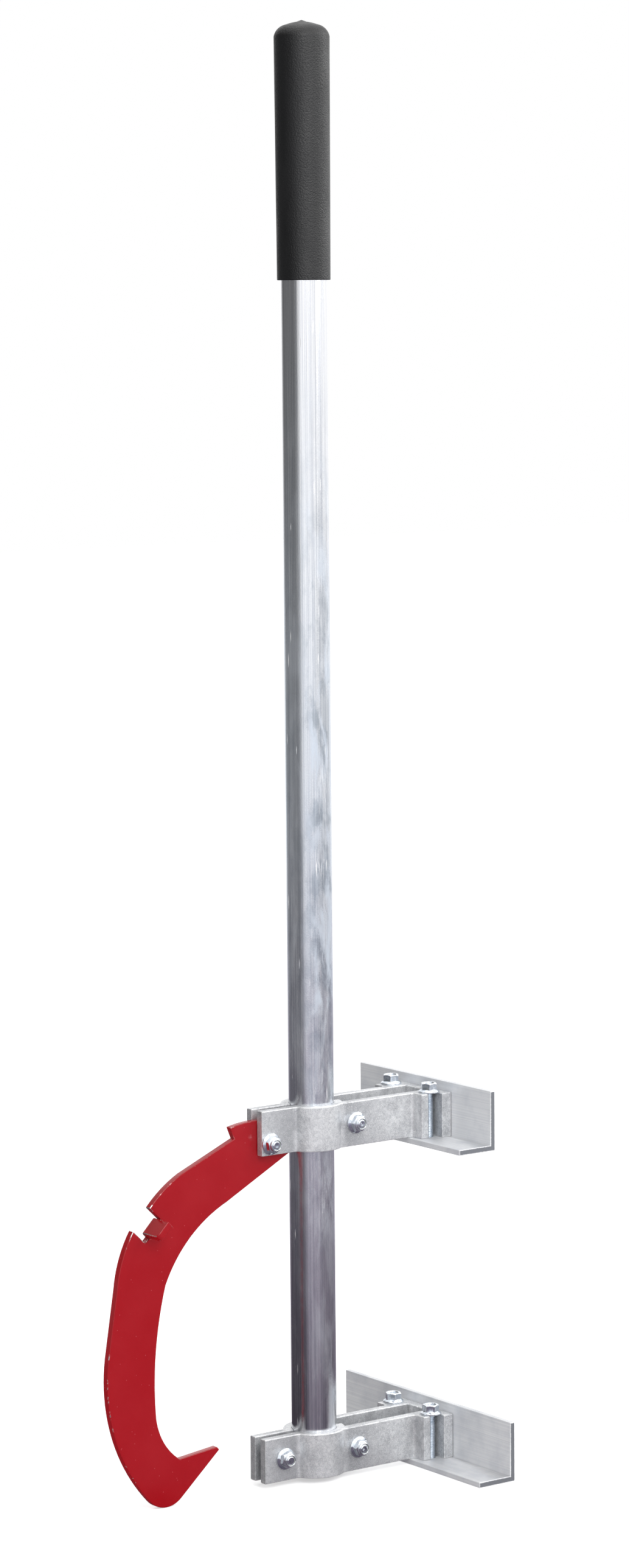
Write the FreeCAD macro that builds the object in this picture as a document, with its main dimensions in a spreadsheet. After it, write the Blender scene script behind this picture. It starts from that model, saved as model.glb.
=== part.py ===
import FreeCAD, Part
import os
import Sketcher

# Log lifting jack: a straight tube handle with a rubber grip, two clamped brackets that each
# carry an angle bar for a foot, and a hinged hook that hangs from the upper bracket.
# Frame: origin on the handle's axis at its lower end, +Z up the handle, +X towards the feet,
# +Y to the side where the bolt heads are. Millimetres.

os.makedirs("parts", exist_ok=True)
doc = FreeCAD.newDocument("log_lifting_jack")

# Driving sizes, all in millimetres except the turns, which are in degrees
SIZES = (
    # Handle tube and grip
    ("pole_od", 38.1),
    ("pole_wall", 3.175),
    ("pole_length", 1208.5),
    ("grip_length", 210.0),
    ("grip_fit", 0.1),
    ("grip_mouth_wall", 2.95),
    ("grip_crown_wall", 3.85),
    ("grip_end_wall", 3.0),
    ("grip_shoulder", 12.0),
    ("grip_shoulder_curve", 12.2),
    ("grip_dome_rise", 2.2),
    ("grip_dome_inset", 10.0),
    ("grip_dome_curve", 42.0),
    ("grip_nub_radius", 4.2),
    ("grip_nub_rise", 1.5),
    # Clamp halves, all cut from one bar section
    ("clamp_height", 38.1),
    ("clamp_spacing", 279.4),
    ("clamp_wall", 7.05),
    ("clamp_fit", 0.05),
    ("parting_gap", 0.4),
    ("ear_gap", 7.6),
    ("ear_length", 32.75),
    ("ear_bolt_offset", 12.2),
    ("ring_blend", 3.0),
    ("arm_step", 5.45),
    ("arm_wall", 7.4),
    ("arm_length", 65.75),
    ("arm_bolt_offset", 5.2),
    ("arm_bolt_height", 19.85),
    # Foot block at the end of each clamp half
    ("block_blend", 3.0),
    ("short_jaw_width", 7.1),
    ("short_jaw_reach", 12.4),
    ("long_jaw_width", 9.3),
    ("long_jaw_reach", 17.3),
    ("slot_width", 11.0),
    ("slot_set", 0.3),
    # Foot angle bars
    ("angle_wall", 4.76),
    ("angle_tall_leg", 50.8),
    ("angle_flat_leg", 38.1),
    ("angle_seat_gap", 0.5),
    ("upper_foot_length", 183.0),
    ("lower_foot_length", 233.0),
    ("edge_break", 0.5),
    # Fasteners, all of one size
    ("bolt_od", 7.94),
    ("bolt_hole_gap", 0.25),
    ("tapped_hole_gap", 0.03),
    ("hex_across_flats", 12.7),
    ("hex_turned_share", 0.96),
    ("flange_od", 18.2),
    ("flange_rim", 1.2),
    ("flange_cone", 1.9),
    ("head_height", 8.2),
    ("head_dish_depth", 1.1),
    ("head_dish_od", 9.2),
    ("bolt_tip_cone", 0.9),
    ("foot_bolt_recess", 0.3),
    ("nut_hex_height", 6.6),
    ("nut_height", 8.8),
    ("nut_collar_od", 11.2),
    ("nut_collar_wall", 0.8),
    ("nut_lip", 0.8),
    ("nut_mouth_od", 8.6),
    ("insert_gap", 0.05),
    ("bolt_past_nut", 0.2),
    ("cut_allowance", 1.0),
    # Hook plate
    ("hook_plate", 6.35),
    ("pivot_gap", 0.08),
    ("pivot_setback", 9.0),
    ("pivot_above_clamp", 9.9),
    ("heel_gap", 0.3),
    ("heel_round", 19.3),
    ("heel_round_turn", 30.0),
    ("heel_face_top", 1.3),
    ("heel_face_foot", 8.5),
    ("hook_reach", 160.6),
    ("hook_width", 46.7),
    ("toe_round", 22.0),
    ("toe_inset", 56.8),
    ("toe_back_turn", 47.0),
    ("beak_turn", 41.7),
    ("beak_length", 52.2),
    ("beak_tip", 3.6),
    ("tab_length", 24.2),
    ("tab_width", 16.2),
    ("tab_corner_round", 4.0),
    ("tab_bend_round", 4.0),
    ("tab_root_round", 2.0),
    ("upper_slit", 1.8),
    ("lower_slit", 5.4),
    ("slit_depth", 16.4),
    ("notch_behind_pivot", 117.3),
    ("notch_below_pivot", 40.7),
    ("notch_depth", 10.6),
    ("notch_turn", 45.5),
)

sheet = doc.addObject("Spreadsheet::Sheet", "Sizes")
for row, (alias, value) in enumerate(SIZES, start=1):
    sheet.set(f"A{row}", alias)
    sheet.set(f"B{row}", str(value))
    sheet.setAlias(f"B{row}", alias)
doc.recompute()

# Places and radii that follow from the driving sizes
POLE_R = "(Sizes.pole_od / 2)"
BORE_R = f"({POLE_R} + Sizes.clamp_fit)"
RING_R = f"({BORE_R} + Sizes.clamp_wall)"
EAR_IN = "(Sizes.ear_gap / 2)"
EAR_OUT = f"({EAR_IN} + Sizes.clamp_wall)"
EAR_END = f"({RING_R} + Sizes.ear_length)"
EAR_BOLT_X = f"(-{RING_R} - Sizes.ear_bolt_offset)"
ARM_OUT = f"({RING_R} - Sizes.arm_step)"
ARM_IN = f"({ARM_OUT} - Sizes.arm_wall)"
ARM_BOLT_X = f"({RING_R} + Sizes.arm_bolt_offset)"
BLOCK_START = f"({RING_R} + Sizes.arm_length)"
SHORT_JAW_END = f"({BLOCK_START} + Sizes.short_jaw_width)"
LONG_JAW_START = f"({SHORT_JAW_END} + Sizes.slot_width)"
BLOCK_END = f"({LONG_JAW_START} + Sizes.long_jaw_width)"
FOOT_BOLT_X = f"({SHORT_JAW_END} + Sizes.slot_width / 2)"
FOOT_BOLT_Y = f"({ARM_OUT} + Sizes.slot_set + Sizes.slot_width / 2)"
LEG_INNER_X = f"({BLOCK_END} + Sizes.angle_seat_gap)"
LEG_OUTER_X = f"({LEG_INNER_X} + Sizes.angle_wall)"
CLAMP_MIDDLE = "(Sizes.clamp_height / 2)"
FLOOR_Z = "(-Sizes.angle_wall)"
PIVOT_X = f"(-{EAR_END} + Sizes.pivot_setback)"
PIVOT_Z = "(Sizes.clamp_spacing + Sizes.pivot_above_clamp)"
BOLT_R = "(Sizes.bolt_od / 2)"
FLANGE_R = "(Sizes.flange_od / 2)"
HEX_FLAT_R = "(Sizes.hex_across_flats / 2)"
HEX_CORNER_R = "(Sizes.hex_across_flats / sqrt(3))"

# How close a found edge's middle is to where it should be
NEAR = 0.01


def number(expression):
    """The value that an expression has with the sheet's present sizes."""
    return float(sheet.evalExpression(expression.replace("Sizes.", "")))


def bind(piece, **expressions):
    """Ties properties to expressions; an underscore pair stands for a dot in the path."""
    for path, expression in expressions.items():
        piece.setExpression(path.replace("__", "."), expression)


def origin_plane(body, role):
    """The body's own origin plane with this role."""
    return [part for part in body.Origin.OriginFeatures if part.Role == role][0]


def arc_through(start, end, radius, turn):
    """The smaller arc from start to end, turning left (+1) or right (-1) as it goes."""
    chord = end - start
    middle = (start + end) * 0.5
    side = FreeCAD.Vector(-chord.y, chord.x, 0).normalize() * turn
    rise = max(radius ** 2 - (chord.Length / 2) ** 2, 0) ** 0.5
    crown = middle - side * (radius - rise)
    return Part.Arc(start, crown, end)


def outline(body, name, role, corners):
    """A closed sketch. Each corner is (x, y), reached by a straight edge from the one before,
    or (x, y, radius, turn), reached by an arc. The first corner closes the loop."""
    sketch = body.newObject("Sketcher::SketchObject", name)
    sketch.AttachmentSupport = (origin_plane(body, role), [""])
    sketch.MapMode = "FlatFace"
    points = [FreeCAD.Vector(number(corner[0]), number(corner[1]), 0) for corner in corners]
    for index, corner in enumerate(corners):
        start = points[index - 1]
        end = points[index]
        if len(corner) == 2:
            sketch.addGeometry(Part.LineSegment(start, end), False)
        else:
            sketch.addGeometry(arc_through(start, end, number(corner[2]), corner[3]), False)
    # An arc that turns right is stored from its end to its start, so its points swap over
    first = [2 if len(corner) > 2 and corner[3] < 0 else 1 for corner in corners]
    last = [3 - point for point in first]
    for index, corner in enumerate(corners):
        following = (index + 1) % len(corners)
        joint = Sketcher.Constraint("Coincident", index, last[index], following, first[following])
        sketch.addConstraint(joint)
        place_point(sketch, index, last[index], corner)
        if len(corner) > 2:
            radius = Sketcher.Constraint("Radius", index, number(corner[2]))
            bound = sketch.addConstraint(radius)
            sketch.setExpression(f"Constraints[{bound}]", corner[2])
    return sketch


def place_point(sketch, geometry, point, corner):
    """Holds a point of the sketch at the corner's two expressions from the sketch's origin."""
    for kind, expression in (("DistanceX", corner[0]), ("DistanceY", corner[1])):
        distance = Sketcher.Constraint(kind, -1, 1, geometry, point, number(expression))
        bound = sketch.addConstraint(distance)
        sketch.setExpression(f"Constraints[{bound}]", expression)


def circles(body, name, role, centres, radius):
    """A sketch of equal circles about the given centres."""
    sketch = body.newObject("Sketcher::SketchObject", name)
    sketch.AttachmentSupport = (origin_plane(body, role), [""])
    sketch.MapMode = "FlatFace"
    for index, centre in enumerate(centres):
        middle = FreeCAD.Vector(number(centre[0]), number(centre[1]), 0)
        circle = Part.Circle(middle, FreeCAD.Vector(0, 0, 1), number(radius))
        sketch.addGeometry(circle, False)
        place_point(sketch, index, 3, centre)
        bound = sketch.addConstraint(Sketcher.Constraint("Radius", index, number(radius)))
        sketch.setExpression(f"Constraints[{bound}]", radius)
    return sketch


def pad(body, name, sketch, length, both_ways=False):
    """Raises the sketch by a bound length, along its normal or half each way."""
    feature = body.newObject("PartDesign::Pad", name)
    feature.Profile = sketch
    feature.Midplane = both_ways
    feature.setExpression("Length", length)
    doc.recompute()
    return feature


def cut_through(body, name, sketch):
    """Cuts the sketch right through the body, both ways, and checks that it removed something."""
    before = body.Shape.Volume
    feature = body.newObject("PartDesign::Pocket", name)
    feature.Profile = sketch
    feature.Type = "ThroughAll"
    feature.Midplane = True
    doc.recompute()
    if body.Shape.Volume >= before:
        raise RuntimeError(f"{name} of {body.Label} cuts nothing")
    return feature


def round_edge(body, name, place, y, radius):
    """Rounds the edge of the body's tip whose middle is at this X and Z, and at this Y."""
    middle = FreeCAD.Vector(number(place[0]), number(y), number(place[1]))
    picked = []
    for index, edge in enumerate(body.Shape.Edges, start=1):
        centre = edge.valueAt((edge.FirstParameter + edge.LastParameter) / 2)
        if centre.distanceToPoint(middle) < NEAR:
            picked.append(f"Edge{index}")
    dress(body, "PartDesign::Fillet", name, picked, "Radius", radius)


def face_names(shape, wanted):
    """Names of the flat faces whose centre and normal satisfy the test."""
    names = []
    for index, face in enumerate(shape.Faces, start=1):
        if face.Surface.TypeId == "Part::GeomPlane":
            if wanted(face.CenterOfMass, face.normalAt(0, 0)):
                names.append(f"Face{index}")
    return names


def dress(body, kind, name, picked, size_name, size):
    """Adds a fillet or chamfer of a bound size to picked edges or faces of the body's tip."""
    base = body.Tip
    feature = body.newObject(kind, name)
    feature.Base = (base, picked)
    feature.setExpression(size_name, size)
    doc.recompute()
    return feature


def new_body(label):
    """An empty body, named and labelled as the piece."""
    body = doc.addObject("PartDesign::Body", label)
    body.Label = label
    doc.recompute()
    return body


# Handle tube: one round tube, open at its lower end

def pole_tube():
    body = new_body("pole_tube")
    centre = [("0", "0")]
    outside = circles(body, "pole_outside", "XY_Plane", centre, POLE_R)
    pad(body, "pole_round", outside, "Sizes.pole_length")
    inside = circles(body, "pole_inside", "XY_Plane", centre, f"{POLE_R} - Sizes.pole_wall")
    cut_through(body, "pole_bore", inside)


# Hand grip: a moulded sleeve pushed over the top of the handle, with a domed closed end

def hand_grip():
    body = new_body("hand_grip")
    bore = f"({POLE_R} + Sizes.grip_fit)"
    seat_z = "(Sizes.pole_length + Sizes.grip_fit)"
    rim_z = f"({seat_z} + Sizes.grip_end_wall)"
    crown_z = f"({rim_z} + Sizes.grip_dome_rise)"
    mouth_z = f"({crown_z} - Sizes.grip_length)"
    crown_r = f"({bore} + Sizes.grip_crown_wall)"
    dome_r = f"({crown_r} - Sizes.grip_dome_inset)"
    profile = outline(body, "grip_profile", "XZ_Plane", [
        ("0", seat_z),
        (bore, seat_z),
        (bore, mouth_z),
        (f"{bore} + Sizes.grip_mouth_wall", mouth_z),
        (crown_r, f"{crown_z} - Sizes.grip_shoulder"),
        (dome_r, rim_z, "Sizes.grip_shoulder_curve", 1),
        ("Sizes.grip_nub_radius", crown_z, "Sizes.grip_dome_curve", 1),
        ("0", f"{crown_z} + Sizes.grip_nub_rise"),
    ])
    sleeve = body.newObject("PartDesign::Revolution", "grip_sleeve")
    sleeve.Profile = profile
    sleeve.ReferenceAxis = (profile, ["V_Axis"])
    sleeve.Angle = 360
    doc.recompute()


# Clamp half: ear, half ring round the handle, arm and slotted foot block in one bar section

def clamp_half(label, side, base_z, holes):
    body = new_body(label)

    def y(expression):
        return f"{side} * ({expression})"

    def on_circle(radius, distance):
        return f"sqrt({radius} ^ 2 - {distance} ^ 2)"

    # The hollow corner between ear and ring is an arc that touches both of them
    blend = "Sizes.ring_blend"
    blend_y = f"({EAR_OUT} + {blend})"
    blend_x = f"sqrt(({RING_R} + {blend}) ^ 2 - {blend_y} ^ 2)"
    share = f"({RING_R} / ({RING_R} + {blend}))"
    slot_r = "(Sizes.slot_width / 2)"
    section = outline(body, "bar_section", "XY_Plane", [
        (f"-{EAR_END}", y(EAR_IN)),
        (f"-{EAR_END}", y(EAR_OUT)),
        (f"-{blend_x}", y(EAR_OUT)),
        (f"-{blend_x} * {share}", y(f"{blend_y} * {share}"), blend, side),
        (on_circle(RING_R, ARM_OUT), y(ARM_OUT), RING_R, -side),
        (f"{BLOCK_START} - Sizes.block_blend", y(ARM_OUT)),
        (BLOCK_START, y(f"{ARM_OUT} + Sizes.block_blend"), "Sizes.block_blend", side),
        (BLOCK_START, y(f"{ARM_OUT} + Sizes.short_jaw_reach")),
        (SHORT_JAW_END, y(f"{ARM_OUT} + Sizes.short_jaw_reach")),
        (SHORT_JAW_END, y(FOOT_BOLT_Y)),
        (FOOT_BOLT_X, y(f"{FOOT_BOLT_Y} - {slot_r}"), slot_r, side),
        (LONG_JAW_START, y(FOOT_BOLT_Y), slot_r, side),
        (LONG_JAW_START, y(f"{ARM_OUT} + Sizes.long_jaw_reach")),
        (BLOCK_END, y(f"{ARM_OUT} + Sizes.long_jaw_reach")),
        (BLOCK_END, y("Sizes.parting_gap / 2")),
        (LONG_JAW_START, y("Sizes.parting_gap / 2")),
        (LONG_JAW_START, y(ARM_IN)),
        (on_circle(RING_R, ARM_IN), y(ARM_IN)),
        (on_circle(RING_R, EAR_IN), y(EAR_IN), RING_R, -side),
        (on_circle(BORE_R, EAR_IN), y(EAR_IN)),
        ("0", y(BORE_R), BORE_R, side),
        (f"-{on_circle(BORE_R, EAR_IN)}", y(EAR_IN), BORE_R, side),
    ])
    pad(body, "bar_length", section, "Sizes.clamp_height")
    ends = face_names(body.Shape, lambda centre, normal: abs(normal.z) > 0.9)
    dress(body, "PartDesign::Chamfer", "sawn_edges", ends, "Size", "Sizes.edge_break")
    hole_r = f"{BOLT_R} + Sizes.bolt_hole_gap"
    cut_through(body, "bolt_holes", circles(body, "hole_places", "XZ_Plane", holes, hole_r))
    body.setExpression("Placement.Base.z", base_z)


# Foot angle bar: the clamps stand on its flat leg and its tall leg faces away from the handle

def foot_angle(label, length, base_z):
    body = new_body(label)
    flat_x = f"{LEG_OUTER_X} - Sizes.angle_flat_leg"
    top_z = f"{FLOOR_Z} + Sizes.angle_tall_leg"
    section = outline(body, "angle_section", "XZ_Plane", [
        (flat_x, FLOOR_Z),
        (LEG_OUTER_X, FLOOR_Z),
        (LEG_OUTER_X, top_z),
        (LEG_INNER_X, top_z),
        (LEG_INNER_X, "0"),
        (flat_x, "0"),
    ])
    pad(body, "angle_length", section, length, both_ways=True)
    ends = face_names(body.Shape, lambda centre, normal: abs(normal.y) > 0.9)
    dress(body, "PartDesign::Chamfer", "sawn_edges", ends, "Size", "Sizes.edge_break")
    centres = [(FOOT_BOLT_X, f"{side} * {FOOT_BOLT_Y}") for side in (-1, 1)]
    hole_r = f"{BOLT_R} + Sizes.tapped_hole_gap"
    cut_through(body, "tapped_holes", circles(body, "hole_places", "XY_Plane", centres, hole_r))
    body.setExpression("Placement.Base.z", base_z)


# Hook: one flat steel plate with a step at the heel and a tab folded out of its back edge.
# Its upper places are counted from the pivot and its lower ones from the back and the floor.

def hook_blade():
    body = new_body("hook_blade")
    heel_x = f"(-{POLE_R} - Sizes.heel_gap)"
    toe_x = f"({PIVOT_X} - Sizes.hook_reach + Sizes.toe_inset)"
    heel_end_x = "sin(Sizes.heel_round_turn * 1 deg)"
    heel_end_z = "cos(Sizes.heel_round_turn * 1 deg)"
    beak_x = "cos(Sizes.beak_turn * 1 deg)"
    beak_z = "sin(Sizes.beak_turn * 1 deg)"
    along_x = "cos(Sizes.notch_turn * 1 deg)"
    along_z = "sin(Sizes.notch_turn * 1 deg)"
    tab_start = "Sizes.upper_slit"
    tab_end = "(Sizes.upper_slit + Sizes.tab_width)"
    notch_end = f"({tab_end} + Sizes.lower_slit)"

    def above(x, z, *arc):
        return (f"{PIVOT_X} - {x}", f"{PIVOT_Z} + ({z})", *arc)

    def below(x, z, *arc):
        return (f"{PIVOT_X} - Sizes.hook_reach + {x}", f"{FLOOR_Z} + {z}", *arc)

    def toe(turn, *arc):
        """A point of the rounded toe, this far round from where it stands on the floor."""
        x = f"{toe_x} + Sizes.toe_round * sin({turn} * 1 deg)"
        z = f"{FLOOR_Z} + Sizes.toe_round * (1 - cos({turn} * 1 deg))"
        return (x, z, *arc)

    def beak(length, width):
        """A point along the beak's straight underside from the toe, and this far above it."""
        start_x, start_z = toe("Sizes.beak_turn")
        x = f"{start_x} + {beak_x} * {length} - {beak_z} * {width}"
        z = f"{start_z} + {beak_z} * {length} + {beak_x} * {width}"
        return (x, z)

    def notch(distance, depth, *arc):
        """A point this far down the back edge from the notch's upper corner, and this deep."""
        corner_x = f"{PIVOT_X} - Sizes.notch_behind_pivot"
        corner_z = f"{PIVOT_Z} - Sizes.notch_below_pivot"
        x = f"{corner_x} - {along_x} * {distance} + {along_z} * {depth}"
        z = f"{corner_z} - {along_z} * {distance} - {along_x} * {depth}"
        return (x, z, *arc)

    plate = outline(body, "plate_outline", "XZ_Plane", [
        (heel_x, f"{PIVOT_Z} - Sizes.heel_face_top"),
        (heel_x, f"{PIVOT_Z} - Sizes.heel_face_foot"),
        above("40.7", "-45.7"),
        above("102.2", "-107.0", "119", 1),
        below("(Sizes.hook_width + 0.5)", "81", "310", 1),
        below("70.4", "38.7", "54", 1),
        beak("Sizes.beak_length", "Sizes.beak_tip"),
        beak("Sizes.beak_length", "0"),
        toe("Sizes.beak_turn"),
        toe("0", "Sizes.toe_round", -1),
        toe("-Sizes.toe_back_turn", "Sizes.toe_round", -1),
        below("2", "138.8", "153", -1),
        above("150.3", "-105.0"),
        notch(notch_end, "0", "111", -1),
        notch(notch_end, "Sizes.slit_depth"),
        notch(tab_end, "Sizes.slit_depth"),
        notch(tab_end, "Sizes.notch_depth"),
        notch(tab_start, "Sizes.notch_depth"),
        notch(tab_start, "Sizes.slit_depth"),
        notch("0", "Sizes.slit_depth"),
        notch("0", "0"),
        above("85.3", "-16.1", "113", -1),
        above("31.7", "6.8"),
        above("35.7", "16.7"),
        above("0", "Sizes.heel_round", "110", -1),
        (f"{PIVOT_X} + Sizes.heel_round * {heel_end_x}", f"{PIVOT_Z} + Sizes.heel_round * {heel_end_z}",
         "Sizes.heel_round", -1),
    ])
    pad(body, "plate", plate, "Sizes.hook_plate", both_ways=True)

    tab_depth = "(Sizes.notch_depth + Sizes.hook_plate)"
    tab_middle = "(Sizes.upper_slit + Sizes.tab_width / 2)"
    tab_reach = "(Sizes.tab_length - Sizes.hook_plate / 2)"
    tab_foot = outline(body, "tab_foot", "XZ_Plane", [
        notch(tab_start, "Sizes.notch_depth"),
        notch(tab_end, "Sizes.notch_depth"),
        notch(tab_end, tab_depth),
        notch(tab_start, tab_depth),
    ])
    pad(body, "tab", tab_foot, tab_reach)
    round_edge(body, "tab_bend", notch(tab_middle, "Sizes.notch_depth"), "Sizes.hook_plate / 2",
               "Sizes.tab_bend_round")
    round_edge(body, "tab_root", notch(tab_middle, tab_depth), "-Sizes.hook_plate / 2",
               "Sizes.tab_root_round")
    round_edge(body, "tab_corner", notch(tab_end, "(Sizes.notch_depth + Sizes.hook_plate / 2)"),
               f"-{tab_reach}", "Sizes.tab_corner_round")
    pivot_r = f"{BOLT_R} + Sizes.pivot_gap"
    pivot = circles(body, "pivot_place", "XZ_Plane", [(PIVOT_X, PIVOT_Z)], pivot_r)
    cut_through(body, "pivot_bore", pivot)


# Fasteners: flanged bolts and flanged lock nuts, each built upright on its seat at its own
# origin and then turned and placed. A washer face and its cone belong to every head and nut.

def primitive(kind, name, **sizes):
    """A Part solid whose properties are bound to expressions."""
    piece = doc.addObject(kind, name)
    bind(piece, **sizes)
    return piece


def joined(name, pieces):
    """One solid made of several."""
    whole = doc.addObject("Part::MultiFuse", name)
    whole.Shapes = pieces
    whole.Refine = True
    return whole


def cut_away(name, base, tool):
    """The base without the tool."""
    rest = doc.addObject("Part::Cut", name)
    rest.Base = base
    rest.Tool = tool
    return rest


def flanged_hexagon(label, height):
    """Washer face, cone and hexagon up to this height, with the hexagon's corners turned off."""
    rim = primitive("Part::Cylinder", f"{label}_rim", Radius=FLANGE_R, Height="Sizes.flange_rim")
    cone = primitive("Part::Cone", f"{label}_cone", Radius1=FLANGE_R, Radius2=HEX_FLAT_R,
                     Height="Sizes.flange_cone", Placement__Base__z="Sizes.flange_rim")
    hexagon = primitive("Part::Prism", f"{label}_hexagon", Circumradius=HEX_CORNER_R,
                        Height=height)
    face_r = f"{HEX_FLAT_R} * Sizes.hex_turned_share"
    turned = primitive("Part::Cone", f"{label}_turned", Height=height, Radius2=face_r,
                       Radius1=f"{face_r} + {height} * sqrt(3)")
    block = doc.addObject("Part::Common", f"{label}_block")
    block.Base = hexagon
    block.Tool = turned
    return [rim, cone, block]


def flange_bolt(label, length):
    """A bolt standing on its head's seat with its shank below it."""
    head = flanged_hexagon(label, "Sizes.head_height")
    shank = primitive("Part::Cylinder", f"{label}_shank", Radius=BOLT_R,
                      Height=f"{length} - Sizes.bolt_tip_cone",
                      Placement__Base__z=f"-({length} - Sizes.bolt_tip_cone)")
    tip = primitive("Part::Cone", f"{label}_tip", Radius1=f"{BOLT_R} - Sizes.bolt_tip_cone",
                    Radius2=BOLT_R, Height="Sizes.bolt_tip_cone", Placement__Base__z=f"-({length})")
    dish = primitive("Part::Cylinder", f"{label}_dish", Radius="Sizes.head_dish_od / 2",
                     Height="Sizes.head_dish_depth + Sizes.cut_allowance",
                     Placement__Base__z="Sizes.head_height - Sizes.head_dish_depth")
    return cut_away(label, joined(f"{label}_solid", head + [shank, tip]), dish)


def lock_nut(label):
    """A nut on its seat: flanged hexagon with a thin collar on top that is turned in at its lip."""
    collar_r = "(Sizes.nut_collar_od / 2)"
    collar = primitive("Part::Cylinder", f"{label}_collar", Radius=collar_r,
                       Height="Sizes.nut_height - Sizes.nut_lip")
    lip = primitive("Part::Cone", f"{label}_lip", Radius1=collar_r,
                    Radius2=f"{collar_r} - Sizes.nut_lip", Height="Sizes.nut_lip",
                    Placement__Base__z="Sizes.nut_height - Sizes.nut_lip")
    solid = joined(f"{label}_solid", flanged_hexagon(label, "Sizes.nut_hex_height") + [collar, lip])
    bore = primitive("Part::Cylinder", f"{label}_bore", Height="Sizes.nut_hex_height",
                     Radius=f"{BOLT_R} + Sizes.tapped_hole_gap")
    seat = primitive("Part::Cylinder", f"{label}_seat", Radius=f"{collar_r} - Sizes.nut_collar_wall",
                     Height="Sizes.nut_height - Sizes.nut_lip - Sizes.nut_hex_height",
                     Placement__Base__z="Sizes.nut_hex_height")
    mouth = primitive("Part::Cylinder", f"{label}_mouth", Radius="Sizes.nut_mouth_od / 2",
                      Height="Sizes.nut_lip + Sizes.cut_allowance",
                      Placement__Base__z="Sizes.nut_height - Sizes.nut_lip")
    return cut_away(label, solid, joined(f"{label}_hollow", [bore, seat, mouth]))


def nut_insert(label):
    """The nylon ring held inside a nut's collar."""
    length = "Sizes.nut_height - Sizes.nut_lip - Sizes.nut_hex_height - 2 * Sizes.insert_gap"
    outer = "Sizes.nut_collar_od / 2 - Sizes.nut_collar_wall - Sizes.insert_gap"
    foot = "Sizes.nut_hex_height + Sizes.insert_gap"
    ring = primitive("Part::Cylinder", f"{label}_ring", Radius=outer, Height=length,
                     Placement__Base__z=foot)
    hole = primitive("Part::Cylinder", f"{label}_hole", Radius=f"{BOLT_R} + Sizes.insert_gap",
                     Height=length, Placement__Base__z=foot)
    return cut_away(label, ring, hole)


def place(piece, turn, tilt, x, y, z):
    """Turns a fastener about its own axis, tips it about X and puts its seat at a bound point."""
    turned = FreeCAD.Rotation(FreeCAD.Vector(0, 0, 1), turn)
    tipped = FreeCAD.Rotation(FreeCAD.Vector(1, 0, 0), tilt)
    piece.Placement = FreeCAD.Placement(FreeCAD.Vector(), tipped * turned)
    bind(piece, Placement__Base__x=x, Placement__Base__y=y, Placement__Base__z=z)


def cross_bolt(bolt_label, nut_label, x, z, half_width, nut_turn):
    """A bolt with its head on the far side of a bracket, its nut on the near side and the
    nut's ring. Its tip stands just past the nut. Each nut stopped at its own turn."""
    grip = f"(2 * {half_width})"
    bolt = flange_bolt(bolt_label, f"({grip} + Sizes.nut_height + Sizes.bolt_past_nut)")
    place(bolt, 0, -90, x, half_width, z)
    place(lock_nut(nut_label), nut_turn, 90, x, f"-{half_width}", z)
    place(nut_insert(f"{nut_label}_insert"), 0, 90, x, f"-{half_width}", z)


def foot_bolt(label, side, base_z, turn):
    """A bolt that stands in the foot block's slot and screws into the angle bar below."""
    length = "(Sizes.clamp_height + Sizes.angle_wall - Sizes.foot_bolt_recess)"
    seat_z = f"{base_z} + Sizes.clamp_height"
    place(flange_bolt(label, length), turn, 0, FOOT_BOLT_X, f"{side} * {FOOT_BOLT_Y}", seat_z)


# The two brackets, upper and lower, with everything that is bolted to them

UPPER_Z = "Sizes.clamp_spacing"
ARM_BOLT_Z = "Sizes.arm_bolt_height"
upper_holes = [(PIVOT_X, "Sizes.pivot_above_clamp"), (ARM_BOLT_X, ARM_BOLT_Z)]
lower_holes = [(EAR_BOLT_X, CLAMP_MIDDLE), (ARM_BOLT_X, ARM_BOLT_Z)]

pole_tube()
hand_grip()
for side, name, upper_turn, lower_turn in ((-1, "front", 0, 21), (1, "rear", -10, 4)):
    clamp_half(f"upper_clamp_{name}", side, UPPER_Z, upper_holes)
    clamp_half(f"lower_clamp_{name}", side, "0", lower_holes)
    foot_bolt(f"upper_foot_bolt_{name}", side, UPPER_Z, upper_turn)
    foot_bolt(f"lower_foot_bolt_{name}", side, "0", lower_turn)
foot_angle("upper_foot_angle", "Sizes.upper_foot_length", UPPER_Z)
foot_angle("lower_foot_angle", "Sizes.lower_foot_length", "0")
hook_blade()
cross_bolt("hook_pivot_bolt", "hook_pivot_nut", PIVOT_X, PIVOT_Z, EAR_OUT, -20)
cross_bolt("upper_clamp_bolt", "upper_clamp_nut", ARM_BOLT_X, f"{UPPER_Z} + {ARM_BOLT_Z}", ARM_OUT, -6)
cross_bolt("lower_ear_bolt", "lower_ear_nut", EAR_BOLT_X, CLAMP_MIDDLE, EAR_OUT, 17)
cross_bolt("lower_clamp_bolt", "lower_clamp_nut", ARM_BOLT_X, ARM_BOLT_Z, ARM_OUT, -6)
doc.recompute()

# Every object must have been worked out, and every piece must be one or more sound solids

for thing in doc.Objects:
    if "Invalid" in thing.State or "Error" in thing.State:
        raise RuntimeError(f"{thing.Label} failed")

pieces = [thing for thing in doc.Objects if thing.TypeId == "PartDesign::Body"]
pieces += [thing for thing in doc.Objects if thing.TypeId == "Part::Cut"]
for piece in pieces:
    if piece.Shape.isNull() or not piece.Shape.isValid() or not piece.Shape.Solids:
        raise RuntimeError(f"{piece.Label} is not a sound solid")
    print(piece.Label, len(piece.Shape.Solids), round(piece.Shape.Volume))
    piece.Shape.exportStep(f"parts/{piece.Label}.step")
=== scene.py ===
import math

import bmesh
import bpy
from mathutils import Matrix, Vector


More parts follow.
